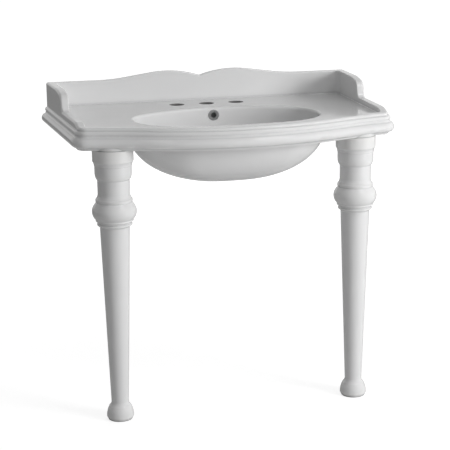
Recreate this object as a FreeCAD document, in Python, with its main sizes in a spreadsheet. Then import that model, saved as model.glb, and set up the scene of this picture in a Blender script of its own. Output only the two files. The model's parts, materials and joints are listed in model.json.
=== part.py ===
# Console sink: a glazed china basin on two turned china front legs, hung on a wall.
# Millimetres and degrees. X runs along the width, +Y points to the wall, +Z is up.
# The origin is on the floor, in the middle of the overall width and depth.
import FreeCAD, Part
import Sketcher
import math
import os
import re
from FreeCAD import Vector

doc = FreeCAD.newDocument("ConsoleSink")

# ---------------------------------------------------------------- driving sizes
sizes = {
    # overall
    "overallWidth": 900,
    "overallDepth": 560,
    "deckTop": 775,
    "deckThickness": 13,
    # plan of the front: a bow, a counter curve each side of it and rounded corners
    "bowRadius": 640,
    "bowAngle": 23,
    "cornerAngle": 14,
    "cornerRadius": 28,
    "sideTaper": 2.9,
    # rim that stands up round the deck, and the skirt below it
    "rimThickness": 22,
    "rimCorner": 14,
    "rimRounding": 6,
    "rimEdge": 2.6,
    "rimFoot": 2.8,
    "lipRise": 6,
    "galleryRise": 15,
    "galleryFall": 50,
    "wingRise": 66,
    "wingShoulderDepth": 130,
    "wingShoulderRadius": 260,
    "wingShoulderAngle": 13,
    "wingNoseRadius": 26,
    "wingNoseAngle": 72,
    "wingToeRadius": 14,
    "galleryEndDepth": 385,
    "skirtThickness": 14,
    # moulding under the lip, read downwards and outwards
    "mouldingProjection": 16,
    "quirkDrop": 8,
    "quirkProjection": 3,
    "beadHeight": 9,
    "beadProjection": 2.5,
    "beadRadius": 7,
    "grooveHeight": 9,
    "grooveProjection": 4,
    "grooveRadius": 5.5,
    "ovoloHeight": 12,
    "ovoloRadius": 15,
    "rollHeight": 12,
    "rollReturn": 7,
    "rollRadius": 12,
    "coveHeight": 7,
    "coveRadius": 13,
    # backsplash: two shallow lobes that meet in a soft notch
    "splashThickness": 22,
    "lobeRise": 19,
    "lobePeak": 97,
    "lobeRadius": 300,
    "notchRadius": 6,
    "lobeOuterAngle": 8,
    "lobeTailRadius": 520,
    # bowl
    "bowlCentreDepth": 320,
    "bowlHalfWidth": 248,
    "bowlFrontReach": 146,
    "bowlRearReach": 148,
    "bowlFrontCorner": 138,
    "bowlRearCorner": 102,
    "bowlDepth": 146,
    "bowlFullness": 2.6,
    "bowlLip": 7,
    "bowlWall": 20,
    "bowlShellDepth": 157,
    "bowlShellFullness": 2.3,
    # holes in the basin
    "tapSpacing": 84.8,
    "tapSetback": 91,
    "tapHoleRadius": 18,
    "tapHoleLip": 5,
    "wasteHoleRadius": 22.5,
    "wasteRecessRadius": 33,
    "wasteRecessDepth": 3,
    "overflowDrop": 21,
    "overflowHoleRadius": 11,
    "ductBore": 6.5,
    "ductWall": 5,
    "ductSideRadius": 74,
    # back rail and its two wall fixings
    "railThickness": 24,
    "fixingSpacing": 280,
    "fixingDrop": 32,
    "fixingHoleRadius": 8,
    "studRadius": 5,
    "bushLength": 20,
    "bushFlange": 3,
    "bushFlangeRadius": 14,
    "fitGap": 0.2,
    "wallWasherRadius": 12.5,
    "washerThickness": 2,
    "nutHeight": 8,
    "nutFlats": 17,
    "capWall": 2,
    "capStraight": 9,
    "capDome": 7,
    # legs, read downwards from the head
    "legSpacing": 648,
    "legSetback": 420,
    "gasketThickness": 2,
    "gasketBore": 30,
    "gasketInset": 2.5,
    "headRadius": 52.5,
    "headHeight": 30,
    "headCove": 12,
    "collarRadius": 47.5,
    "collarHeight": 19,
    "collarOvolo": 15,
    "neckRadius": 41.5,
    "neckHeight": 36,
    "neckCove": 12,
    "ringBandRadius": 47.5,
    "ringBandHeight": 5,
    "ballRadius": 57.2,
    "ballHeight": 39,
    "ballShoulder": 49.5,
    "underBandHeight": 5,
    "underOvolo": 6,
    "astragalRadius": 43.5,
    "astragalHeight": 6,
    "shaftTopRadius": 38.3,
    "ankleRadius": 22.8,
    "ankleHeight": 45,
    "footCollar": 29.2,
    "footRadius": 35.8,
    "footHeight": 33,
    "legQuirk": 2.5,
    "legWall": 9,
    "legLedge": 12,
    "legBore": 13,
    "footPadThickness": 3,
    "footPadInset": 4,
    "footPadBore": 15,
    # tie that pulls each leg up to its seat
    "seatThickness": 14,
    "tieRadius": 5,
    "tieHoleRadius": 7,
    "anchorLength": 50,
    "anchorWidth": 18,
    "anchorThickness": 5,
    "softWasherThickness": 3,
    "tieWasherRadius": 14,
    "wingNutHub": 8.5,
    "wingNutHeight": 8,
    "wingSpan": 19,
    "wingRiseAbove": 4,
    "wingThickness": 3.5,
    "tieTail": 2,
    # chrome overflow ring and its sleeve
    "ringRadius": 14.5,
    "ringFlange": 2.5,
    "ringBarrel": 12,
    "ringWall": 1.5,
    "sleeveWall": 1.6,
    "sleeveLength": 9,
}

# ---------------------------------------------------------------- worked-out sizes
worked = {
    "wallY": "overallDepth / 2",
    "lipFrontY": "mouldingProjection - overallDepth / 2",
    "lipTop": "deckTop + lipRise",
    "galleryTop": "deckTop + galleryRise",
    "wingTop": "deckTop + wingRise",
    "lobeTop": "wingTop + lobeRise",
    "deckUnder": "deckTop - deckThickness",
    "slabBottom": "lipTop - quirkDrop - beadHeight - grooveHeight - ovoloHeight - rollHeight - coveHeight",
    "lipWallX": "overallWidth / 2 - mouldingProjection / cos(sideTaper)",
    # the counter curve's radius follows from the width that the bow and the corner leave
    "counterSpan": "lipWallX - tan(sideTaper) * (wallY - lipFrontY - bowRadius * (1 - cos(bowAngle))"
                   " - cornerRadius * (cos(cornerAngle) - sin(sideTaper)))"
                   " - bowRadius * sin(bowAngle) + cornerRadius * (sin(cornerAngle) - cos(sideTaper))",
    "counterRadius": "counterSpan / (sin(bowAngle) - sin(cornerAngle)"
                     " - tan(sideTaper) * (cos(cornerAngle) - cos(bowAngle)))",
    "bowCentreY": "lipFrontY + bowRadius",
    "counterX": "(bowRadius + counterRadius) * sin(bowAngle)",
    "counterY": "bowCentreY - (bowRadius + counterRadius) * cos(bowAngle)",
    "cornerX": "counterX - (counterRadius + cornerRadius) * sin(cornerAngle)",
    "cornerY": "counterY + (counterRadius + cornerRadius) * cos(cornerAngle)",
    "lobeInnerAngle": "asin(lobePeak / (lobeRadius + notchRadius))",
    "splashFaceY": "wallY - splashThickness",
    "railFaceY": "wallY - railThickness",
    "bowlY": "wallY - bowlCentreDepth",
    "bowlFloorZ": "deckTop - bowlDepth * sin(78)^(2 / bowlFullness)",
    "shellBottomZ": "deckUnder - bowlShellDepth * sin(78)^(2 / bowlShellFullness)",
    "tapY": "wallY - tapSetback",
    "overflowZ": "deckTop - overflowDrop",
    "fixingZ": "deckTop - fixingDrop",
    "legX": "legSpacing / 2",
    "legY": "wallY - legSetback",
    "seatTop": "slabBottom + seatThickness",
    "legTop": "slabBottom - gasketThickness",
    "legBottom": "footPadThickness",
    "anchorTop": "legTop - legLedge",
    "wingNutBase": "seatTop + softWasherThickness + washerThickness",
    "overflowSeatY": "bowlY + bowlRearReach",
    "wallWasherY": "railFaceY - bushFlange",
    "wallNutY": "wallWasherY - washerThickness",
    "nutCorner": "nutFlats / (2 * cos(30))",
}


def writeSheet(name, cells):
    sheet = doc.addObject("Spreadsheet::Sheet", name)
    for row, (alias, content) in enumerate(cells.items(), start=1):
        sheet.set("A%d" % row, alias)
        sheet.set("B%d" % row, content)
        sheet.setAlias("B%d" % row, alias)
    doc.recompute()
    return sheet


cellPlace = {alias: "Sizes." + alias for alias in sizes}
cellPlace.update({alias: "Worked." + alias for alias in worked})


def bind(text):
    """The text of an expression, with each cell's name written out in full."""
    return re.sub(r"[A-Za-z]\w*", lambda word: cellPlace.get(word.group(), word.group()), text)


writeSheet("Sizes", {alias: str(number) for alias, number in sizes.items()})
workedSheet = writeSheet("Worked", {alias: "=" + bind(text) for alias, text in worked.items()})


def value(text):
    return float(workedSheet.evalExpression(bind(text)))


# ---------------------------------------------------------------- sketch and feature helpers
def newBody(label, x=None, y=None, z=None):
    body = doc.addObject("PartDesign::Body", label)
    body.Label = label
    for axis, text in (("x", x), ("y", y), ("z", z)):
        if text is not None:
            body.setExpression("Placement.Base." + axis, bind(text))
    return body


def originPlane(body, role):
    return [feature for feature in body.Origin.OriginFeatures if feature.Role == role][0]


def newSketch(body, name, plane, height=None):
    sketch = body.newObject("Sketcher::SketchObject", name)
    sketch.AttachmentSupport = (originPlane(body, plane), "")
    sketch.MapMode = "FlatFace"
    if height is not None:
        sketch.setExpression("AttachmentOffset.Base.z", bind(height))
    return sketch


def pin(sketch, geometry, position, x, y):
    """Hold one point of a sketch at two expressions."""
    for kind, text, axis in (("DistanceX", x, -2), ("DistanceY", y, -1)):
        if text == "0":
            sketch.addConstraint(Sketcher.Constraint("PointOnObject", geometry, position, axis))
            continue
        number = sketch.addConstraint(
            Sketcher.Constraint(kind, -1, 1, geometry, position, value(text)))
        sketch.setExpression("Constraints[%d]" % number, bind(text))


def drawLoop(sketch, points, arcs=None, closed=True):
    """Lines and arcs through the points. arcs maps a segment's number to (radius, turn),
    where turn is 1 for an arc that runs counter-clockwise and -1 for a clockwise one."""
    arcs = arcs or {}
    places = [Vector(value(x), value(y), 0) for x, y in points]
    count = len(points) if closed else len(points) - 1
    ends = []
    for index in range(count):
        start = places[index]
        end = places[(index + 1) % len(places)]
        if index not in arcs:
            number = sketch.addGeometry(Part.LineSegment(start, end), False)
            ends.append((number, 1, 2))
            continue
        radius, turn = arcs[index]
        size = value(radius)
        chord = end - start
        half = chord.Length / 2
        left = Vector(-chord.y, chord.x, 0).normalize()
        centre = (start + end) * 0.5 + left * turn * math.sqrt(max(size * size - half * half, 0))
        first, last = (start, end) if turn > 0 else (end, start)
        angles = [math.atan2(point.y - centre.y, point.x - centre.x) for point in (first, last)]
        circle = Part.Circle(centre, Vector(0, 0, 1), size)
        number = sketch.addGeometry(Part.ArcOfCircle(circle, angles[0], angles[1]), False)
        ends.append((number, 1, 2) if turn > 0 else (number, 2, 1))
    for index in range(count):
        number, startPosition, endPosition = ends[index]
        if closed or index + 1 < count:
            after = ends[(index + 1) % count]
            sketch.addConstraint(
                Sketcher.Constraint("Coincident", number, endPosition, after[0], after[1]))
        pin(sketch, number, startPosition, *points[index])
    if not closed:
        pin(sketch, ends[-1][0], ends[-1][2], *points[-1])
    for index, (radius, turn) in arcs.items():
        number = sketch.addConstraint(
            Sketcher.Constraint("Radius", ends[index][0], value(radius)))
        sketch.setExpression("Constraints[%d]" % number, bind(radius))
    return sketch


def drawCircles(sketch, centres, radius):
    for x, y in centres:
        circle = Part.Circle(Vector(value(x), value(y), 0), Vector(0, 0, 1), value(radius))
        number = sketch.addGeometry(circle, False)
        pin(sketch, number, 3, x, y)
        size = sketch.addConstraint(Sketcher.Constraint("Radius", number, value(radius)))
        sketch.setExpression("Constraints[%d]" % size, bind(radius))
    return sketch


def mirrorLoop(points, arcs, closing=None):
    """A loop about x = 0 from its right half. closing is the arc over the middle of the front."""
    full = list(points) + [("-(%s)" % x, y) for x, y in reversed(points) if x != "0"]
    turns = dict(arcs)
    for index, arc in arcs.items():
        turns[len(full) - 2 - index] = arc
    if closing:
        turns[len(full) - 1] = closing
    return full, turns


def padBody(body, sketch, length, name, reverse=False, middle=False):
    pad = body.newObject("PartDesign::Pad", name)
    pad.Profile = sketch
    pad.setExpression("Length", bind(length))
    pad.Reversed = reverse
    pad.Midplane = middle
    doc.recompute()
    return pad


def pocketBody(body, sketch, length, name, reverse=False, middle=False):
    """A pocket that is checked to have taken something away."""
    before = body.Shape.Volume
    pocket = body.newObject("PartDesign::Pocket", name)
    pocket.Profile = sketch
    pocket.setExpression("Length", bind(length))
    pocket.Reversed = reverse
    pocket.Midplane = middle
    doc.recompute()
    if body.Shape.Volume > before - 1:
        raise RuntimeError(name + " cut nothing")
    return pocket


def revolveBody(body, sketch, name):
    turned = body.newObject("PartDesign::Revolution", name)
    turned.Profile = sketch
    turned.ReferenceAxis = (sketch, ["V_Axis"])
    turned.Angle = 360
    doc.recompute()
    return turned


def pipeBody(body, kind, profile, path, name):
    pipe = body.newObject("PartDesign::" + kind, name)
    pipe.Profile = profile
    pipe.Spine = (path, ["Edge%d" % (number + 1) for number in range(path.GeometryCount)])
    doc.recompute()
    return pipe


def loftBody(body, kind, sections, name):
    loft = body.newObject("PartDesign::" + kind, name)
    loft.Profile = sections[0]
    loft.Sections = sections[1:]
    loft.Ruled = False
    loft.Closed = False
    doc.recompute()
    return loft


def filletBody(body, place, meeting, radius, name):
    """Round some edges. place is given the middle of an edge, and meeting the middle and the
    normals of the two faces that meet there, the lower one first."""
    base = body.Tip
    picked = []
    for number, edge in enumerate(base.Shape.Edges, start=1):
        first, last = edge.ParameterRange
        middle = edge.valueAt((first + last) / 2)
        if not place(middle):
            continue
        normals = []
        for face in base.Shape.ancestorsOfType(edge, Part.Face):
            normals.append(face.normalAt(*face.Surface.parameter(middle)))
        normals.sort(key=lambda normal: normal.z)
        if len(normals) == 2 and meeting(middle, *normals):
            picked.append("Edge%d" % number)
    fillet = body.newObject("PartDesign::Fillet", name)
    fillet.Base = (base, picked)
    fillet.setExpression("Radius", bind(radius))
    doc.recompute()
    return fillet


# ---------------------------------------------------------------- plan outlines of the rim
def rimRight(inset, backY):
    """Right half of the rim's plan, moved inwards from the lip's face by inset: the end of the
    bow, the end of the counter curve, the end of the corner and the point on the back line."""
    corner = ("cornerX + (cornerRadius - (%s)) * cos(sideTaper)" % inset,
              "cornerY - (cornerRadius - (%s)) * sin(sideTaper)" % inset)
    return [
        ("(bowRadius - (%s)) * sin(bowAngle)" % inset,
         "bowCentreY - (bowRadius - (%s)) * cos(bowAngle)" % inset),
        ("counterX - (counterRadius + (%s)) * sin(cornerAngle)" % inset,
         "counterY + (counterRadius + (%s)) * cos(cornerAngle)" % inset),
        corner,
        ("%s + (%s - (%s)) * tan(sideTaper)" % (corner[0], backY, corner[1]), backY),
    ]


def rimLoop(inset, backY):
    arcs = {
        0: ("counterRadius + (%s)" % inset, -1),
        1: ("cornerRadius - (%s)" % inset, 1),
    }
    return mirrorLoop(rimRight(inset, backY), arcs, ("bowRadius - (%s)" % inset, 1))


# ---------------------------------------------------------------- basin
def archPoint(halfSpan, rise, side):
    """Three-centred arch: the radius of its crown, and where the crown meets the side arc."""
    crown = "(((%s) - (%s))^2 + (%s)^2 - (%s)^2) / (2 * ((%s) - (%s)))" % (
        halfSpan, side, rise, side, rise, side)
    x = "(%s) * ((%s) - (%s)) / ((%s) - (%s))" % (crown, halfSpan, side, crown, side)
    y = "((%s) - (%s)) * (%s) / ((%s) - (%s))" % (crown, rise, side, crown, side)
    return crown, x, y


def ovalSketch(body, name, height, grow, scale):
    """One level of the bowl: an oval of six arcs, fuller in front than behind."""
    def sized(text):
        return "(%s + (%s)) * (%s)" % (text, grow, scale)
    halfWidth = sized("bowlHalfWidth")
    frontSide = sized("bowlFrontCorner")
    rearSide = sized("bowlRearCorner")
    frontCrown, frontX, frontY = archPoint(halfWidth, sized("bowlFrontReach"), frontSide)
    rearCrown, rearX, rearY = archPoint(halfWidth, sized("bowlRearReach"), rearSide)
    points = [
        (frontX, "bowlY - (%s)" % frontY),
        (halfWidth, "bowlY"),
        (rearX, "bowlY + (%s)" % rearY),
    ]
    arcs = {0: (frontSide, 1), 1: (rearSide, 1), 2: (rearCrown, 1)}
    full, turns = mirrorLoop(points, arcs, (frontCrown, 1))
    sketch = newSketch(body, name, "XY_Plane", height)
    return drawLoop(sketch, full, turns)


def bowlSections(body, name, top, depth, fullness, grow):
    """Levels of a bowl whose half section is a superellipse, from its mouth to its flat floor."""
    sections = []
    for number, angle in enumerate((0, 22, 36, 48, 59, 69, 78)):
        level = "%s - %s * sin(%d)^(2 / %s)" % (top, depth, angle, fullness)
        scale = "cos(%d)^(2 / %s)" % (angle, fullness)
        sections.append(ovalSketch(body, "%s_level_%d" % (name, number), level, grow, scale))
    return sections


def basinSlab(body):
    """The block of the deck, the rim and the backsplash, before anything is cut out of it."""
    outline = newSketch(body, "slab_outline", "XY_Plane", "slabBottom")
    drawLoop(outline, *rimLoop("0", "wallY"))
    padBody(body, outline, "lobeTop + 5 - slabBottom", "slab")

    recess = newSketch(body, "deck_outline", "XY_Plane", "lobeTop + 5")
    drawLoop(recess, *rimLoop("rimThickness", "splashFaceY"))
    pocketBody(body, recess, "lobeTop + 5 - deckTop", "deck_recess")


def wingCut(body):
    """Seen from the side, the rim drops from the wing in a shoulder, a nose and a toe to the
    low gallery, which falls to the front lip in two arcs round the corner."""
    shoulderY = "wallY - wingShoulderDepth"
    shoulderEnd = ("%s - wingShoulderRadius * sin(wingShoulderAngle)" % shoulderY,
                   "wingTop - wingShoulderRadius * (1 - cos(wingShoulderAngle))")
    noseEnd = ("%s - wingNoseRadius * (sin(wingNoseAngle) - sin(wingShoulderAngle))" % shoulderEnd[0],
               "%s - wingNoseRadius * (cos(wingShoulderAngle) - cos(wingNoseAngle))" % shoulderEnd[1])
    toeEnd = "galleryTop + wingToeRadius * (1 - cos(wingNoseAngle))"
    toeStart = ("%s - (%s - (%s)) / tan(wingNoseAngle)" % (noseEnd[0], noseEnd[1], toeEnd), toeEnd)
    galleryStart = ("%s - wingToeRadius * sin(wingNoseAngle)" % toeStart[0], "galleryTop")
    galleryEnd = "wallY - galleryEndDepth"
    fall = "(galleryRise - lipRise)"
    fallRadius = "(galleryFall^2 + %s^2) / (4 * %s)" % (fall, fall)
    points = [
        (shoulderY, "wingTop"),
        shoulderEnd,
        noseEnd,
        toeStart,
        galleryStart,
        (galleryEnd, "galleryTop"),
        ("%s - galleryFall / 2" % galleryEnd, "(galleryTop + lipTop) / 2"),
        ("%s - galleryFall" % galleryEnd, "lipTop"),
        ("lipFrontY - 10", "lipTop"),
        ("lipFrontY - 10", "lobeTop + 10"),
        ("splashFaceY", "lobeTop + 10"),
        ("splashFaceY", "wingTop"),
    ]
    arcs = {
        0: ("wingShoulderRadius", 1),
        1: ("wingNoseRadius", 1),
        3: ("wingToeRadius", -1),
        5: (fallRadius, 1),
        6: (fallRadius, -1),
    }
    side = newSketch(body, "side_profile", "YZ_Plane")
    drawLoop(side, points, arcs)
    pocketBody(body, side, "2 * overallWidth", "rim_profile", middle=True)


def backsplashCut(body):
    """Seen from the front, two lobes meet in a small round notch and run out to the wings."""
    outerX = "lobePeak + lobeRadius * sin(lobeOuterAngle)"
    outerZ = "lobeTop - lobeRadius * (1 - cos(lobeOuterAngle))"
    tailX = "%s + (%s - wingTop) / tan(lobeOuterAngle)" % (outerX, outerZ)
    blend = "lobeTailRadius * tan(lobeOuterAngle / 2)"
    points = [
        ("notchRadius * sin(lobeInnerAngle)", "lobeTop - lobeRadius * (1 - cos(lobeInnerAngle))"),
        (outerX, outerZ),
        ("%s - (%s) * cos(lobeOuterAngle)" % (tailX, blend),
         "wingTop + (%s) * sin(lobeOuterAngle)" % blend),
        ("%s + (%s)" % (tailX, blend), "wingTop"),
        ("overallWidth / 2 + 10", "wingTop"),
        ("overallWidth / 2 + 10", "lobeTop + 10"),
    ]
    arcs = {0: ("lobeRadius", -1), 2: ("lobeTailRadius", 1)}
    full, turns = mirrorLoop(points, arcs, ("notchRadius", 1))
    sketch = newSketch(body, "splash_profile", "XZ_Plane", "-(wallY + 10)")
    drawLoop(sketch, full, turns)
    pocketBody(body, sketch, "splashThickness + 10", "splash_cut", reverse=True)


def basinRounding(body):
    """Round the rim: its inner back corners, its foot on the deck, and both its top edges."""
    deck = value("deckTop")
    splash = value("splashFaceY")
    backLimit = value("wallY") - 0.1
    middleY = value("bowlY")

    def upright(at, low, high):
        return abs(low.z) + abs(high.z) < 0.1 and abs(low.dot(high)) < 0.5

    def aboveDeck(at):
        return at.z > deck + 1 and at.y < backLimit

    def outerTop(at, low, high):
        outward = at.x * low.x + (at.y - middleY) * low.y > 0
        return outward and abs(low.z) < 0.1 and high.z > 0.2

    def innerTop(at, low, high):
        return not outerTop(at, low, high) and abs(low.z) < 0.1 and high.z > 0.2

    filletBody(body, lambda at: abs(at.y - splash) < 0.1 and at.z > deck + 5, upright,
               "rimCorner", "rim_corners")
    filletBody(body, lambda at: abs(at.z - deck) < 0.01, lambda at, low, high: high.z > 0.9,
               "rimFoot", "rim_foot")
    filletBody(body, aboveDeck, outerTop, "rimRounding", "rim_outer_edge")
    filletBody(body, aboveDeck, innerTop, "rimEdge", "rim_inner_edge")


def basinMoulding(body):
    """The moulding's section, swept from the middle of the front to the wall and mirrored."""
    outward = "lipFrontY"
    drops = ["quirkDrop", "1", "beadHeight - 1", "grooveHeight", "ovoloHeight", "rollHeight", "coveHeight"]
    steps = ["0", "quirkProjection", "beadProjection", "grooveProjection",
             "mouldingProjection - quirkProjection - beadProjection - grooveProjection",
             "-rollReturn", "rollReturn - mouldingProjection"]
    section = [("%s + 4" % outward, "lipTop - quirkDrop")]
    y, z = outward, "lipTop"
    for drop, step in zip(drops, steps):
        y = "%s - (%s)" % (y, step)
        z = "%s - (%s)" % (z, drop)
        section.append((y, z))
    section.append(("%s + 4" % outward, "slabBottom"))
    arcs = {
        2: ("beadRadius", 1),
        3: ("grooveRadius", -1),
        4: ("ovoloRadius", 1),
        5: ("rollRadius", 1),
        6: ("coveRadius", -1),
    }
    profile = newSketch(body, "moulding_section", "YZ_Plane")
    drawLoop(profile, section, arcs)

    path = newSketch(body, "moulding_path", "XY_Plane", "slabBottom")
    right = rimRight("0", "wallY + 12")
    drawLoop(path, [("0", "lipFrontY")] + right,
             {0: ("bowRadius", 1), 1: ("counterRadius", -1), 2: ("cornerRadius", 1)}, closed=False)
    pipe = pipeBody(body, "AdditivePipe", profile, path, "moulding")
    mirrored = body.newObject("PartDesign::Mirrored", "moulding_left")
    mirrored.Originals = [pipe]
    mirrored.MirrorPlane = (originPlane(body, "YZ_Plane"), [""])
    body.Tip = mirrored
    doc.recompute()

    trim = newSketch(body, "wall_trim", "XY_Plane", "slabBottom - 5")
    half = "overallWidth / 2 + 20"
    drawLoop(trim, [("-(%s)" % half, "wallY"), (half, "wallY"), (half, "wallY + 30"),
                    ("-(%s)" % half, "wallY + 30")])
    pocketBody(body, trim, "lobeTop + 20 - slabBottom", "wall_face", reverse=True)


def basinUnderside(body):
    """The hollow under the deck, with the back rail left standing, and the two leg seats."""
    hollow = newSketch(body, "underside_outline", "XY_Plane", "slabBottom")
    drawLoop(hollow, *rimLoop("skirtThickness", "railFaceY"))
    pocketBody(body, hollow, "deckUnder - slabBottom", "underside", reverse=True)

    seats = newSketch(body, "seat_outline", "XY_Plane", "slabBottom")
    drawCircles(seats, [("legX", "legY"), ("-(legX)", "legY")], "headRadius")
    padBody(body, seats, "seatThickness", "leg_seats")

    ties = newSketch(body, "tie_holes", "XY_Plane", "slabBottom")
    drawCircles(ties, [("legX", "legY"), ("-(legX)", "legY")], "tieHoleRadius")
    pocketBody(body, ties, "seatThickness", "tie_bores", reverse=True)


def ductPath(body, name, top):
    """Overflow passage behind the bowl: down its rear wall and round under it to the waste."""
    rear = "bowlY + bowlRearReach + bowlWall"
    end = "bowlY + wasteHoleRadius - 4"
    low = "bowlFloorZ - wasteRecessDepth - ductBore - 4"
    high = "%s + ductSideRadius + 30" % low
    crown, x, y = archPoint("%s - (%s)" % (rear, end), "ductSideRadius + 30", "ductSideRadius")
    path = newSketch(body, name, "YZ_Plane")
    points = [
        (rear, top),
        (rear, high),
        ("%s + (%s)" % (end, x), "%s - (%s)" % (high, y)),
        (end, low),
    ]
    return drawLoop(path, points, {1: ("ductSideRadius", -1), 2: (crown, -1)}, closed=False)


def roundMouths(body, middle, depth, width, radius, name):
    """Round the edges of the openings in the deck inside a box about a line across it."""
    deck, line, reach, half = [value(text) for text in ("deckTop", middle, depth, width)]

    def place(at):
        return abs(at.z - deck) < 0.01 and abs(at.y - line) < reach and abs(at.x) < half

    filletBody(body, place, lambda at, low, high: high.z > 0.9 and low.z < 0.9, radius, name)


def basinBowl(body):
    shell = bowlSections(body, "shell", "deckUnder", "bowlShellDepth", "bowlShellFullness", "bowlWall")
    loftBody(body, "AdditiveLoft", shell, "bowl_shell")

    rear = "bowlY + bowlRearReach + bowlWall"
    path = ductPath(body, "duct_path", "deckUnder")
    ring = newSketch(body, "duct_outside", "XY_Plane", "deckUnder")
    drawCircles(ring, [("0", rear)], "ductBore + ductWall")
    pipeBody(body, "AdditivePipe", ring, path, "duct")

    inside = bowlSections(body, "inside", "deckTop", "bowlDepth", "bowlFullness", "0")
    loftBody(body, "SubtractiveLoft", inside, "bowl_inside")
    roundMouths(body, "bowlY", "bowlRearReach + 1", "bowlHalfWidth + 1", "bowlLip", "bowl_lip")

    bore = newSketch(body, "duct_inside", "XY_Plane", "deckUnder - 3")
    drawCircles(bore, [("0", rear)], "ductBore")
    inner = ductPath(body, "duct_bore_path", "deckUnder - 3")
    pipeBody(body, "SubtractivePipe", bore, inner, "duct_bore")


def basinHoles(body):
    waste = newSketch(body, "waste_hole", "XY_Plane", "bowlFloorZ + 5")
    drawCircles(waste, [("0", "bowlY")], "wasteHoleRadius")
    pocketBody(body, waste, "bowlFloorZ + 10 - shellBottomZ", "waste")
    recess = newSketch(body, "waste_recess", "XY_Plane", "bowlFloorZ + 5")
    drawCircles(recess, [("0", "bowlY")], "wasteRecessRadius")
    pocketBody(body, recess, "wasteRecessDepth + 5", "waste_seat")

    taps = newSketch(body, "tap_holes", "XY_Plane", "deckTop")
    drawCircles(taps, [("0", "tapY"), ("tapSpacing", "tapY"), ("-(tapSpacing)", "tapY")], "tapHoleRadius")
    pocketBody(body, taps, "deckThickness + 2", "taps")
    roundMouths(body, "tapY", "tapHoleRadius + 1", "tapSpacing + tapHoleRadius + 1", "tapHoleLip", "tap_lips")

    overflow = newSketch(body, "overflow_hole", "XZ_Plane", "-(overflowSeatY - 12)")
    drawCircles(overflow, [("0", "overflowZ")], "overflowHoleRadius")
    pocketBody(body, overflow, "bowlWall + 12", "overflow")
    face = newSketch(body, "overflow_face", "XZ_Plane", "-(overflowSeatY)")
    drawCircles(face, [("0", "overflowZ")], "ringRadius + 1")
    pocketBody(body, face, "12", "overflow_seat", reverse=True)

    fixings = newSketch(body, "fixing_holes", "XZ_Plane", "-(wallY)")
    drawCircles(fixings, [("fixingSpacing / 2", "fixingZ"), ("-(fixingSpacing / 2)", "fixingZ")],
                "fixingHoleRadius")
    pocketBody(body, fixings, "railThickness", "fixings", reverse=True)


def buildBasin():
    body = newBody("basin_body")
    for step in (basinSlab, wingCut, backsplashCut, basinRounding, basinMoulding, basinUnderside,
                 basinBowl, basinHoles):
        step(body)
    return body


# ---------------------------------------------------------------- legs and what holds them
def turnedBody(label, plane, outline, arcs=None, x=None, y=None, z=None):
    """A piece turned about the upright line of its sketch."""
    body = newBody(label, x, y, z)
    sketch = newSketch(body, label + "_profile", plane)
    drawLoop(sketch, outline, arcs)
    revolveBody(body, sketch, label + "_turned")
    return body


def tangentArc(across, along):
    """Radius of an arc that starts upright and runs by these amounts across and along."""
    return "((%s)^2 + (%s)^2) / (2 * (%s))" % (across, along, across)


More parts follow.
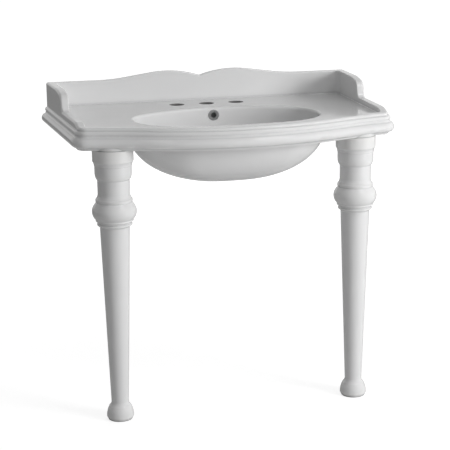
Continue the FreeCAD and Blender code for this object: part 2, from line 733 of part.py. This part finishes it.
def legOutline():
    """The half section of a leg: up its outside from the foot, over the head and down inside."""
    headEnd = "legTop - headHeight"
    collarTop = "%s - headCove" % headEnd
    collarEnd = "%s - collarHeight" % collarTop
    ovoloEnd = "%s - collarOvolo" % collarEnd
    neckTop = "%s - legQuirk" % ovoloEnd
    neckEnd = "%s - neckHeight" % neckTop
    bandTop = "%s - neckCove - legQuirk" % neckEnd
    bandEnd = "%s - ringBandHeight" % bandTop
    ballTop = "%s - 3 * legQuirk" % bandEnd
    ballEnd = "%s - ballHeight" % ballTop
    underEnd = "%s - underBandHeight" % ballEnd
    astragalTop = "%s - underOvolo" % underEnd
    astragalEnd = "%s - astragalHeight" % astragalTop
    shaftTop = "%s - 2 * legQuirk" % astragalEnd
    ankleTop = "legBottom + ankleHeight"
    footTop = "legBottom + footHeight"
    footSide = "legBottom + 2 * legQuirk"
    outside = [
        ("footRadius - legQuirk", "legBottom"),
        ("footRadius", footSide),
        ("footCollar", footTop),
        ("footCollar - 0.8 * legQuirk", "%s + legQuirk" % footTop),
        ("ankleRadius", ankleTop),
        ("shaftTopRadius", shaftTop),
        ("shaftTopRadius + legQuirk / 2", "%s + legQuirk" % shaftTop),
        ("astragalRadius", astragalEnd),
        ("astragalRadius", astragalTop),
        ("ballShoulder - 1", underEnd),
        ("ballShoulder - 1", "%s - 1" % ballEnd),
        ("ballShoulder", ballEnd),
        ("ballShoulder", ballTop),
        ("ringBandRadius - legQuirk / 2", "%s - legQuirk" % bandEnd),
        ("ringBandRadius", bandEnd),
        ("ringBandRadius", bandTop),
        ("ringBandRadius - legQuirk", "%s + legQuirk" % bandTop),
        ("neckRadius - 0.2", neckEnd),
        ("neckRadius", neckTop),
        ("neckRadius + legQuirk", ovoloEnd),
        ("collarRadius", collarEnd),
        ("collarRadius", "%s - 0.5" % collarTop),
        ("collarRadius + 1", collarTop),
        ("headRadius", headEnd),
        ("headRadius", "legTop"),
    ]
    footDome = tangentArc("footRadius - footCollar", "%s - (%s)" % (footTop, footSide))
    ankleCove = tangentArc("footCollar - 0.8 * legQuirk - ankleRadius",
                           "ankleHeight - footHeight - legQuirk")
    underCove = tangentArc("ballShoulder - 1 - astragalRadius", "underOvolo")
    ballBulge = "(ballRadius - ballShoulder)"
    ballArc = tangentArc(ballBulge, "ballHeight / 2")
    neckCove = tangentArc("ringBandRadius - legQuirk - neckRadius + 0.2", "neckCove")
    collarArc = tangentArc("collarRadius - neckRadius - legQuirk", "collarOvolo")
    headArc = tangentArc("headRadius - collarRadius - 1", "headCove")
    arcs = {
        1: (footDome, 1),
        3: (ankleCove, -1),
        7: ("astragalHeight / 2 + 0.4", 1),
        8: (underCove, -1),
        11: (ballArc, 1),
        16: (neckCove, -1),
        19: (collarArc, 1),
        22: (headArc, -1),
    }
    inside = [
        ("tieHoleRadius", "legTop"),
        ("tieHoleRadius", "anchorTop"),
        ("shaftTopRadius - legWall", "anchorTop"),
        ("shaftTopRadius - legWall", shaftTop),
        ("legBore", ankleTop),
        ("legBore", "legBottom"),
    ]
    return outside + inside, arcs


def ringSketch(body, name, height, outer, inner):
    sketch = newSketch(body, name, "XY_Plane", height)
    drawCircles(sketch, [("0", "0")], outer)
    drawCircles(sketch, [("0", "0")], inner)
    return sketch


def ringBody(label, x, bottom, thickness, outer, inner):
    """A flat ring on the axis of a leg."""
    body = newBody(label, x, "legY")
    padBody(body, ringSketch(body, label + "_outline", bottom, outer, inner), thickness, label + "_pad")
    return body


def hexagon(flats):
    """Corners of a hexagon about the origin."""
    corner = "(%s) / (2 * cos(30))" % flats
    half = "(%s) / 2" % flats
    quarter = "(%s) / (4 * cos(30))" % flats
    right = [(quarter, half), (corner, "0"), (quarter, "-(%s)" % half)]
    return right + [("-(%s)" % quarter, "-(%s)" % half), ("-(%s)" % corner, "0"), ("-(%s)" % quarter, half)]


def nutBody(label, plane, height, x, y, z, bore):
    body = newBody(label, x, y, z)
    sketch = newSketch(body, label + "_outline", plane, height)
    drawLoop(sketch, hexagon("nutFlats"))
    drawCircles(sketch, [("0", "0")], bore)
    padBody(body, sketch, "nutHeight", label + "_pad")
    return body


def anchorBody(label, x):
    body = newBody(label, x, "legY")
    sketch = newSketch(body, label + "_outline", "XY_Plane", "anchorTop - anchorThickness")
    right = [("anchorLength / 2", "-(anchorWidth / 2)"), ("anchorLength / 2", "anchorWidth / 2")]
    left = [("-(%s)" % px, py) for px, py in reversed(right)]
    drawLoop(sketch, right + left)
    drawCircles(sketch, [("0", "0")], "tieRadius + fitGap")
    padBody(body, sketch, "anchorThickness", label + "_pad")
    return body


def wingNutBody(label, x):
    """A round hub with two ears."""
    body = newBody(label, x, "legY")
    hub = newSketch(body, label + "_hub", "XY_Plane", "wingNutBase")
    drawCircles(hub, [("0", "0")], "wingNutHub")
    padBody(body, hub, "wingNutHeight", label + "_hub_pad")
    ears = newSketch(body, label + "_ears", "XZ_Plane")
    top = "wingNutBase + wingNutHeight + wingRiseAbove"
    right = [
        ("wingNutHub - 2", "wingNutBase + 1"),
        ("wingSpan - 3", "wingNutBase + 4"),
        ("wingSpan", "%s - 3" % top),
        ("wingSpan - 3", top),
        ("wingSpan - 6", "%s - 1" % top),
        ("wingNutHub - 2", "wingNutBase + wingNutHeight - 1"),
    ]
    left = [("-(%s)" % px, pz) for px, pz in reversed(right)]
    drawLoop(ears, right, {2: ("4", 1)})
    drawLoop(ears, left, {2: ("4", 1)})
    padBody(body, ears, "wingThickness", label + "_ears_pad", middle=True)
    bore = newSketch(body, label + "_bore", "XY_Plane", "wingNutBase + wingNutHeight")
    drawCircles(bore, [("0", "0")], "tieRadius + fitGap")
    pocketBody(body, bore, "wingNutHeight", label + "_thread")
    return body


def rodBody(label, x):
    body = newBody(label, x, "legY")
    bottom = "anchorTop - anchorThickness - nutHeight - tieTail"
    sketch = newSketch(body, label + "_outline", "XY_Plane", bottom)
    drawCircles(sketch, [("0", "0")], "tieRadius")
    padBody(body, sketch, "wingNutBase + wingNutHeight + tieTail - (%s)" % bottom, label + "_pad")
    return body


# ---------------------------------------------------------------- wall fixings and overflow
def backTurned(label, x, z, outline, arcs=None):
    """A piece turned about a line that runs to the wall."""
    return turnedBody(label, "XY_Plane", outline, arcs, x=x, z=z)


def tube(inner, outer, near, far):
    return [(inner, near), (outer, near), (outer, far), (inner, far)]


def bushOutline():
    bore = "studRadius + 1.5 * fitGap"
    sleeve = "fixingHoleRadius - fitGap"
    return [
        (bore, "wallWasherY"),
        ("bushFlangeRadius", "wallWasherY"),
        ("bushFlangeRadius", "railFaceY"),
        (sleeve, "railFaceY"),
        (sleeve, "railFaceY + bushLength"),
        (bore, "railFaceY + bushLength"),
    ]


def capBody(label, x):
    """A thimble: a straight wall that ends in a dome, hollow all through."""
    inner = "(nutCorner + 2 * fitGap)"
    outer = "(%s + capWall)" % inner
    shoulder = "wallNutY - capStraight"
    crown = "%s - capDome" % shoulder
    outline = [
        (inner, "wallNutY"),
        (inner, shoulder),
        ("0", "%s + capWall" % crown),
        ("0", crown),
        (outer, shoulder),
        (outer, "wallNutY"),
    ]
    hollow = "(%s^2 + (capDome - capWall)^2) / (2 * (capDome - capWall))" % inner
    dome = "(%s^2 + capDome^2) / (2 * capDome)" % outer
    return backTurned(label, x, "fixingZ", outline, {1: (hollow, -1), 3: (dome, 1)})


def ringBodyOfOverflow():
    """A rounded flange on the wall of the bowl, with a barrel that pushes into the sleeve."""
    outer = "(overflowHoleRadius - sleeveWall - 2 * fitGap)"
    bore = "(%s - ringWall)" % outer
    front = "overflowSeatY - ringFlange"
    outline = [
        (bore, front),
        ("ringRadius - ringFlange / 2", front),
        ("ringRadius", "%s + ringFlange / 2" % front),
        ("ringRadius", "overflowSeatY"),
        (outer, "overflowSeatY"),
        (outer, "overflowSeatY + ringBarrel"),
        (bore, "overflowSeatY + ringBarrel"),
    ]
    return backTurned("overflow_ring_body", None, "overflowZ", outline, {1: ("ringFlange / 2", 1)})


def sleeveBody():
    outer = "overflowHoleRadius - fitGap"
    inner = "%s - sleeveWall" % outer
    far = "overflowSeatY + sleeveLength"
    return backTurned("overflow_sleeve_body", None, "overflowZ", tube(inner, outer, "overflowSeatY", far))


def legNodes(nodes):
    sides = (("left", "-(legX)"), ("right", "legX"))
    outline, arcs = legOutline()
    thread = "tieRadius + fitGap"
    washerBase = "seatTop + softWasherThickness"
    nutBase = "anchorTop - anchorThickness - nutHeight"
    for side, x in sides:
        nodes[side + "_leg"] = [turnedBody(side + "_leg", "XZ_Plane", outline, arcs, x=x, y="legY")]
        nodes[side + "_leg_gasket"] = [ringBody(
            side + "_gasket", x, "legTop", "gasketThickness", "headRadius - gasketInset", "gasketBore")]
        nodes[side + "_foot_pad"] = [ringBody(
            side + "_pad", x, "0", "footPadThickness", "footRadius - footPadInset", "footPadBore")]
        nodes[side + "_anchor_bar"] = [anchorBody(side + "_bar", x)]
    nodes["tie_rods"] = [rodBody(side + "_rod", x) for side, x in sides]
    nodes["tie_nuts"] = [nutBody(side + "_tie_nut", "XY_Plane", nutBase, x, "legY", None, thread)
                         for side, x in sides]
    nodes["tie_soft_washers"] = [ringBody(side + "_soft_washer", x, "seatTop", "softWasherThickness",
                                          "tieWasherRadius", thread) for side, x in sides]
    nodes["tie_steel_washers"] = [ringBody(side + "_tie_washer", x, washerBase, "washerThickness",
                                           "tieWasherRadius", thread) for side, x in sides]
    nodes["wing_nuts"] = [wingNutBody(side + "_wing_nut", x) for side, x in sides]


def wallNodes(nodes):
    sides = (("left", "-(fixingSpacing / 2)"), ("right", "fixingSpacing / 2"))
    washer = tube("studRadius + 1.5 * fitGap", "wallWasherRadius", "wallNutY", "wallWasherY")
    nodes["wall_bushes"] = [backTurned(side + "_bush", x, "fixingZ", bushOutline()) for side, x in sides]
    nodes["wall_washers"] = [backTurned(side + "_wall_washer", x, "fixingZ", washer) for side, x in sides]
    nodes["wall_nuts"] = [nutBody(side + "_wall_nut", "XZ_Plane", "-(wallNutY)", x, None, "fixingZ",
                                  "studRadius") for side, x in sides]
    nodes["nut_caps"] = [capBody(side + "_cap", x) for side, x in sides]


nodes = {"basin": [buildBasin()]}
legNodes(nodes)
wallNodes(nodes)
nodes["overflow_ring"] = [ringBodyOfOverflow()]
nodes["overflow_sleeve"] = [sleeveBody()]

doc.recompute()
faults = [item.Name for item in doc.Objects if "Invalid" in item.State or "Error" in item.State]
if faults:
    raise RuntimeError("faulty objects: " + ", ".join(faults))
os.makedirs("parts", exist_ok=True)
for name, bodies in nodes.items():
    for body in bodies:
        if body.Shape.isNull() or not body.Shape.isValid() or len(body.Shape.Solids) != 1:
            raise RuntimeError(name + " is not one sound solid")
    shape = bodies[0].Shape if len(bodies) == 1 else Part.makeCompound([body.Shape for body in bodies])
    shape.exportStep("parts/%s.step" % name)
    print(name, len(shape.Solids), "solids", round(shape.Volume / 1000), "cm3")
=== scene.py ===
import bpy
import json
import math
import numpy as np
from mathutils import Matrix

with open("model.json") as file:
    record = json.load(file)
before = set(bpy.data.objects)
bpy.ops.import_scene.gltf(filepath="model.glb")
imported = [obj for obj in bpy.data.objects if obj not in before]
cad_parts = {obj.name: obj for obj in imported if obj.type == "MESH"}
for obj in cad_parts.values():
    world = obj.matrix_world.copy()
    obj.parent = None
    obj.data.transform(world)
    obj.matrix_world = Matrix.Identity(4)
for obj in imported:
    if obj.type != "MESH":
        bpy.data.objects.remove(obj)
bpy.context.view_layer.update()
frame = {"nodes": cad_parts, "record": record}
print("console sink: frame loaded, nodes", len(frame["nodes"]))

# the camera that the photo's own edges give, in metres, radians and the photo's pixels
photoView = {
    "place": (-0.8868, -3.5266, 1.3496),
    "yaw": 0.25132,               # turned from +Y towards +X
    "pitch": 0.23644,             # looking down
    "roll": -0.010535,
    "focalPixels": 1377.2,
    "centre": (231.09, 223.13),   # where the lens axis meets the photo
    "imageSize": 450.0,
    "sensor": 36.0,               # millimetres
    "farthest": 60.0,             # just past the floor's corners
}


# the columns of the turn are the object's right, up and back
def placedMatrix(turn, place):
    rows = [[*row, at] for row, at in zip(turn, place)]
    return Matrix(rows + [[0, 0, 0, 1]])


# the lens axis from yaw and pitch, then right and up turned about it by the roll
def cameraTurn(yaw, pitch, roll):
    ahead = np.array([math.sin(yaw) * math.cos(pitch),
                      math.cos(yaw) * math.cos(pitch),
                      -math.sin(pitch)])
    right = np.array([math.cos(yaw), -math.sin(yaw), 0.0])
    up = np.cross(right, ahead)
    rolledRight = math.cos(roll) * right + math.sin(roll) * up
    rolledUp = math.cos(roll) * up - math.sin(roll) * right
    return np.column_stack([rolledRight, rolledUp, -ahead])


# the lens follows from the focal length in pixels, and its shift from the photo's centre
def makeCamera(look):
    lens = bpy.data.cameras.new("photoCamera")
    camera = bpy.data.objects.new("photoCamera", lens)
    bpy.context.scene.collection.objects.link(camera)
    turn = cameraTurn(look["yaw"], look["pitch"], look["roll"])
    camera.matrix_world = placedMatrix(turn, look["place"])
    across, down = (pixels / look["imageSize"] for pixels in look["centre"])
    lens.sensor_width = look["sensor"]
    lens.lens = look["focalPixels"] / look["imageSize"] * look["sensor"]
    lens.shift_x = 0.5 - across
    lens.shift_y = down - 0.5
    lens.clip_end = look["farthest"]
    bpy.context.scene.camera = camera


makeCamera(photoView)
print("console sink: camera placed")


# a socket is linked to another node's output, or set to a number or a colour
def feed(tree, socket, source):
    if isinstance(source, bpy.types.NodeSocket):
        tree.links.new(source, socket)
    elif socket.type == "RGBA":
        socket.default_value = (*source, 1.0)
    else:
        socket.default_value = source


# a node with its properties set by name, and its input sockets fed by name or position
def addNode(tree, kind, inputs=None, **settings):
    node = tree.nodes.new(kind)
    for name, value in settings.items():
        setattr(node, name, value)
    for label, source in (inputs or {}).items():
        feed(tree, node.inputs[label], source)
    return node


# the result of one Math node, whose operands are sockets or numbers
def compute(tree, operation, *operands, **settings):
    inputs = dict(enumerate(operands))
    step = addNode(tree, "ShaderNodeMath", inputs, operation=operation, **settings)
    return step.outputs["Value"]


def objectPlace(tree):
    return addNode(tree, "ShaderNodeTexCoord").outputs["Object"]


def splitPlace(tree, place):
    return addNode(tree, "ShaderNodeSeparateXYZ", {"Vector": place}).outputs


def lengthOf(tree, vector):
    ruler = addNode(tree, "ShaderNodeVectorMath", {"Vector": vector}, operation="LENGTH")
    return ruler.outputs["Value"]


def noise(tree, place, scale, detail):
    inputs = {"Vector": place, "Scale": scale, **detail}
    return addNode(tree, "ShaderNodeTexNoise", inputs).outputs["Fac"]


# a value carried in proportion from one pair of ends to another, and held between them
def carry(tree, value, ends, newEnds):
    labels = ("From Min", "From Max", "To Min", "To Max")
    inputs = {"Value": value, **dict(zip(labels, (*ends, *newEnds)))}
    return addNode(tree, "ShaderNodeMapRange", inputs).outputs["Result"]


# the blends give the first where the share is 0 and the second where it is 1
def blendValues(tree, share, first, second):
    inputs = {"Factor": share, "A": first, "B": second}
    return addNode(tree, "ShaderNodeMix", inputs).outputs["Result"]


def blendColours(tree, share, first, second):
    inputs = {"Factor": share, "A": first, "B": second}
    return addNode(tree, "ShaderNodeMix", inputs, data_type="RGBA").outputs["Result"]


def blendShaders(tree, share, first, second):
    inputs = {"Fac": share, 1: first, 2: second}
    return addNode(tree, "ShaderNodeMixShader", inputs).outputs["Shader"]


# an empty shader node group: its tree, its inputs, which have defaults, and its one output
def newGroup(name, inputs, output):
    tree = bpy.data.node_groups.new(name, "ShaderNodeTree")
    for label, amount in inputs.items():
        socket = tree.interface.new_socket(name=label, in_out="INPUT",
                                           socket_type="NodeSocketFloat")
        socket.default_value = amount
    tree.interface.new_socket(name=output, in_out="OUTPUT", socket_type="NodeSocketFloat")
    entry = tree.nodes.new("NodeGroupInput")
    leave = tree.nodes.new("NodeGroupOutput")
    return tree, entry.outputs, leave.inputs[output]


# a group placed in a material with its own amounts
def useGroup(tree, group, amounts):
    return addNode(tree, "ShaderNodeGroup", amounts, node_tree=group).outputs[0]


driftLook = {
    "inputs": {"Scale": 5.0, "Spread": 0.5},
    "broad": {"Detail": 3.0, "Roughness": 0.55},
    "fine": {"Detail": 2.0, "Roughness": 0.5},
    "finer": 4.3,                 # the fine noise's scale over the broad one's
    "fineShare": 0.3,
    "middle": 0.5,
}


# slow drift: two sizes of noise in object space, mixed and spread about the middle
def makeDriftGroup(look):
    tree, inputs, value = newGroup("slowDrift", look["inputs"], "Value")
    place = objectPlace(tree)
    fineScale = compute(tree, "MULTIPLY", inputs["Scale"], look["finer"])
    broad = noise(tree, place, inputs["Scale"], look["broad"])
    fine = noise(tree, place, fineScale, look["fine"])
    mixed = blendValues(tree, look["fineShare"], broad, fine)
    shift = compute(tree, "MULTIPLY_ADD", inputs["Spread"], -look["middle"], look["middle"])
    feed(tree, value, compute(tree, "MULTIPLY_ADD", mixed, inputs["Spread"], shift))
    return tree


edgeLook = {"inputs": {"Gain": 8.0}, "flat": 0.5}


# worn or thin edges: pointiness above its flat value, stretched into a mask
def makeEdgeGroup(look):
    tree, inputs, edge = newGroup("thinEdges", look["inputs"], "Edge")
    form = addNode(tree, "ShaderNodeNewGeometry")
    above = compute(tree, "SUBTRACT", form.outputs["Pointiness"], look["flat"])
    feed(tree, edge, compute(tree, "MULTIPLY", above, inputs["Gain"], use_clamp=True))
    return tree


creaseLook = {"inputs": {"Reach": 0.012, "Open": 0.88, "Closed": 0.35}, "samples": 8}


# painted shade in creases, with a cooler tint where glaze pools: how far the near surroundings
# close a point in, as a mask
def makeCreaseGroup(look):
    tree, inputs, poolingAndShade = newGroup("poolingAndCreaseShade", look["inputs"], "PoolingAndShade")
    near = addNode(tree, "ShaderNodeAmbientOcclusion", {"Distance": inputs["Reach"]},
                   samples=look["samples"])
    ends = (inputs["Open"], inputs["Closed"])
    feed(tree, poolingAndShade, carry(tree, near.outputs["AO"], ends, (0.0, 1.0)))
    return tree


grainLook = {
    "inputs": {"Scale": 900.0, "Wave": 40.0, "WaveShare": 0.5},
    "small": {"Detail": 2.0, "Roughness": 0.6},
    "broad": {"Detail": 1.0, "Roughness": 0.4},
}


# fine grain: small noise plus a broader wave, as a height between 0 and 1
def makeGrainGroup(look):
    tree, inputs, height = newGroup("fineGrain", look["inputs"], "Height")
    place = objectPlace(tree)
    small = noise(tree, place, inputs["Scale"], look["small"])
    broad = noise(tree, place, inputs["Wave"], look["broad"])
    feed(tree, height, blendValues(tree, inputs["WaveShare"], small, broad))
    return tree


boreLook = {"inputs": {
    "Pitch": 0.0848,              # from hole to hole
    "Setback": 0.189,             # the row's place along Y
    "Reach": 0.0215,              # the bore's 18 mm and 3.5 mm of its lip
    "Top": 0.7749,                # just under the deck's face
    "Ends": 0.11,                 # half the row's length, with its bores
}}


# painted shade in the bores of the three tap holes: 1 within reach of an axis and below the
# top, else 0
def makeBoreShadeGroup(look):
    tree, inputs, mask = newGroup("tapBoreShade", look["inputs"], "Mask")
    place = splitPlace(tree, objectPlace(tree))
    halfPitch = compute(tree, "MULTIPLY", inputs["Pitch"], 0.5)
    aside = compute(tree, "PINGPONG", place["X"], halfPitch)
    behind = compute(tree, "SUBTRACT", place["Y"], inputs["Setback"])
    flat = addNode(tree, "ShaderNodeCombineXYZ", {"X": aside, "Y": behind})
    radius = lengthOf(tree, flat.outputs["Vector"])
    near = compute(tree, "LESS_THAN", radius, inputs["Reach"])
    low = compute(tree, "LESS_THAN", place["Z"], inputs["Top"])
    across = compute(tree, "ABSOLUTE", place["X"])
    within = compute(tree, "LESS_THAN", across, inputs["Ends"])
    both = compute(tree, "MULTIPLY", near, low)
    feed(tree, mask, compute(tree, "MULTIPLY", both, within))
    return tree


drift = makeDriftGroup(driftLook)
edges = makeEdgeGroup(edgeLook)
poolingAndCreaseShade = makeCreaseGroup(creaseLook)
grain = makeGrainGroup(grainLook)
tapBoreShade = makeBoreShadeGroup(boreLook)

# in each finish, tones, rough and coat go from drift 0 to drift 1, and over lists the
# tones laid on top: a mask's group, its amounts, and the colour where the mask is 1

# white glaze: a milky body under a thin clear coat
glazeLook = {
    "even": {"IOR": 1.5, "Coat Roughness": 0.06, "Coat IOR": 1.5},
    "drift": {"Scale": 3.1, "Spread": 1.4},
    "tones": ((0.86, 0.86, 0.86), (0.83, 0.832, 0.835)),
    "over": (
        (poolingAndCreaseShade, {}, (0.5, 0.505, 0.51)),               # painted crease shade, cooler where glaze pools
        (edges, {"Gain": 9.0}, (0.9, 0.895, 0.885)),     # warmer where it thins
        (tapBoreShade, {}, (0.13, 0.128, 0.125)),            # painted shade inside the tap holes
    ),
    "rough": (0.1, 0.19),
    "coat": (0.35, 0.2),
    "grain": {"Scale": 620.0, "Wave": 26.0, "WaveShare": 0.8},
    "bump": {"Strength": 0.25, "Distance": 0.0004},
}

# chrome: bright metal with faint wiping haze
chromeLook = {
    "even": {"Metallic": 1.0},
    "drift": {"Scale": 60.0, "Spread": 1.6},
    "tones": ((0.55, 0.556, 0.554), (0.44, 0.45, 0.452)),
    "rough": (0.05, 0.16),
    "grain": {"Scale": 2500.0, "Wave": 300.0, "WaveShare": 0.4},
    "bump": {"Strength": 0.05, "Distance": 0.0001},
}

# zinc plated steel: a satin metal with cloudy plating and rubbed edges
steelLook = {
    "even": {"Metallic": 1.0},
    "drift": {"Scale": 90.0, "Spread": 1.8},
    "tones": ((0.66, 0.67, 0.68), (0.5, 0.51, 0.52)),
    "over": ((edges, {"Gain": 6.0}, (0.78, 0.78, 0.78)),),
    "rough": (0.25, 0.45),
    "grain": {"Scale": 4000.0, "Wave": 700.0, "WaveShare": 0.3},
    "bump": {"Strength": 0.15, "Distance": 0.0001},
}

# grey rubber: matt, with a faint bloom
rubberLook = {
    "even": {"IOR": 1.5},
    "drift": {"Scale": 70.0, "Spread": 1.6},
    "tones": ((0.42, 0.42, 0.42), (0.48, 0.48, 0.485)),
    "rough": (0.6, 0.85),
    "grain": {"Scale": 3500.0, "Wave": 500.0, "WaveShare": 0.3},
    "bump": {"Strength": 0.4, "Distance": 0.0002},
}

# white moulded plastic: satin, with a fine spark texture
plasticLook = {
    "even": {"IOR": 1.46},
    "drift": {"Scale": 50.0, "Spread": 1.5},
    "tones": ((0.82, 0.82, 0.81), (0.76, 0.765, 0.77)),
    "rough": (0.3, 0.5),
    "grain": {"Scale": 5000.0, "Wave": 400.0, "WaveShare": 0.25},
    "bump": {"Strength": 0.2, "Distance": 0.0001},
}


# a material with one Principled shader: even values on its own sockets, and a tone, a
# roughness and a coat that drift over the surface, with the grain as a bump
def makeFinish(name, look):
    finish = bpy.data.materials.new(name)
    finish.use_nodes = True
    tree = finish.node_tree
    shader = tree.nodes["Principled BSDF"]
    for label, amount in look["even"].items():
        shader.inputs[label].default_value = amount
    slow = useGroup(tree, drift, look["drift"])
    tone = blendColours(tree, slow, *look["tones"])
    for group, amounts, colour in look.get("over", ()):
        tone = blendColours(tree, useGroup(tree, group, amounts), tone, colour)
    feed(tree, shader.inputs["Base Color"], tone)
    feed(tree, shader.inputs["Roughness"], carry(tree, slow, (0.0, 1.0), look["rough"]))
    if "coat" in look:
        feed(tree, shader.inputs["Coat Weight"], carry(tree, slow, (0.0, 1.0), look["coat"]))
    skin = useGroup(tree, grain, look["grain"])
    bump = addNode(tree, "ShaderNodeBump", {"Height": skin, **look["bump"]})
    feed(tree, shader.inputs["Normal"], bump.outputs["Normal"])
    return finish


finishes = {
    "white_glaze": makeFinish("whiteGlaze", glazeLook),
    "chrome": makeFinish("chromePlate", chromeLook),
    "zinc_steel": makeFinish("zincSteel", steelLook),
    "grey_rubber": makeFinish("greyRubber", rubberLook),
    "white_plastic": makeFinish("whitePlastic", plasticLook),
}
for part in frame["record"]["subparts"]:
    shape = frame["nodes"][part["node"]]
    shape.data.materials.clear()
    shape.data.materials.append(finishes[part["material_slot"]])
print("console sink: finishes made")


floorLook = {
    "half": 40.0,
    "colour": (0.72, 0.72, 0.72),
    "glowShare": 0.4,
    "glowSpan": (0.3, 4.0),       # metres from the middle
    "glow": (1.98, 2.34),         # rises over the span, as the lamps' light falls
}


# white to the camera, less the object's shadow, and seen through from below
def floorPaint(look):
    paint = bpy.data.materials.new("studioFloor")
    paint.use_nodes = True
    tree = paint.node_tree
    tree.nodes.clear()
    radius = lengthOf(tree, objectPlace(tree))
    strength = carry(tree, radius, look["glowSpan"], look["glow"])
    glow = addNode(tree, "ShaderNodeEmission", {"Strength": strength})
    matt = addNode(tree, "ShaderNodeBsdfDiffuse", {"Color": look["colour"]})
    clear = addNode(tree, "ShaderNodeBsdfTransparent")
    rays = addNode(tree, "ShaderNodeLightPath").outputs
    share = compute(tree, "MULTIPLY", rays["Is Camera Ray"], look["glowShare"])
    top = blendShaders(tree, share, matt.outputs["BSDF"], glow.outputs["Emission"])
    below = addNode(tree, "ShaderNodeNewGeometry").outputs["Backfacing"]
    surface = blendShaders(tree, below, top, clear.outputs["BSDF"])
    addNode(tree, "ShaderNodeOutputMaterial", {"Surface": surface})
    return paint


# a flat square under the feet
def makeFloor(look):
    half = look["half"]
    corners = [(-half, -half, 0), (half, -half, 0), (half, half, 0), (-half, half, 0)]
    sheet = bpy.data.meshes.new("studioFloor")
    sheet.from_pydata(corners, [], [(0, 1, 2, 3)])
    floor = bpy.data.objects.new("studioFloor", sheet)
    bpy.context.scene.collection.objects.link(floor)
    sheet.materials.append(floorPaint(look))


roomLook = {
    "colour": (1.0, 1.0, 1.0),
    "light": (0.15, 0.42),        # strength on the left and on the right
    "white": 1.0,
    "mirror": 0.75,               # the share of white in reflections
}


# a room that is dim on the left and light on the right, and white where the camera looks
def makeRoom(look):
    room = bpy.data.worlds.new("studio")
    bpy.context.scene.world = room
    room.use_nodes = True
    tree = room.node_tree
    tree.nodes.clear()
    toward = addNode(tree, "ShaderNodeTexCoord").outputs["Generated"]
    across = splitPlace(tree, toward)["X"]
    strength = carry(tree, across, (-1.0, 1.0), look["light"])
    lit = addNode(tree, "ShaderNodeBackground",
                  {"Color": look["colour"], "Strength": strength})
    white = addNode(tree, "ShaderNodeBackground",
                    {"Color": look["colour"], "Strength": look["white"]})
    rays = addNode(tree, "ShaderNodeLightPath").outputs
    seen = compute(tree, "MAXIMUM", rays["Is Camera Ray"], rays["Is Transmission Ray"])
    mirrored = compute(tree, "MULTIPLY", rays["Is Glossy Ray"], look["mirror"])
    share = compute(tree, "MAXIMUM", seen, mirrored)
    surface = blendShaders(tree, share, lit.outputs["Background"], white.outputs["Background"])
    addNode(tree, "ShaderNodeOutputWorld", {"Surface": surface})


# no surface mirrors the two broad lamps; the small high one gives the highlights
lamps = {
    "keyRight": {"place": (3.0, -2.9, 1.45), "aim": (0.0, 0.0, 0.55),
                 "size": 1.5, "power": 99.0, "mirrored": False},
    "backFill": {"place": (0.8, 3.4, 1.9), "aim": (0.0, 0.2, 0.5),
                 "size": 2.0, "power": 24.0, "mirrored": False},
    "topSpark": {"place": (1.5, -1.9, 3.3), "aim": (0.0, 0.0, 0.7),
                 "size": 0.9, "power": 8.0, "mirrored": True},
}


# a square area lamp that faces its aim
def makeLamp(name, look):
    light = bpy.data.lights.new(name, "AREA")
    light.size = look["size"]
    light.energy = look["power"]
    lamp = bpy.data.objects.new(name, light)
    lamp.visible_glossy = look["mirrored"]
    bpy.context.scene.collection.objects.link(lamp)
    back = np.subtract(look["place"], look["aim"])
    back = back / np.linalg.norm(back)
    right = np.cross([0.0, 0.0, 1.0], back)
    right = right / np.linalg.norm(right)
    turn = np.column_stack([right, np.cross(back, right), back])
    lamp.matrix_world = placedMatrix(turn, look["place"])


makeFloor(floorLook)
makeRoom(roomLook)
for lampName, lampLook in lamps.items():
    makeLamp(lampName, lampLook)
bpy.context.scene.view_settings.view_transform = "Standard"
print("console sink: studio lit")
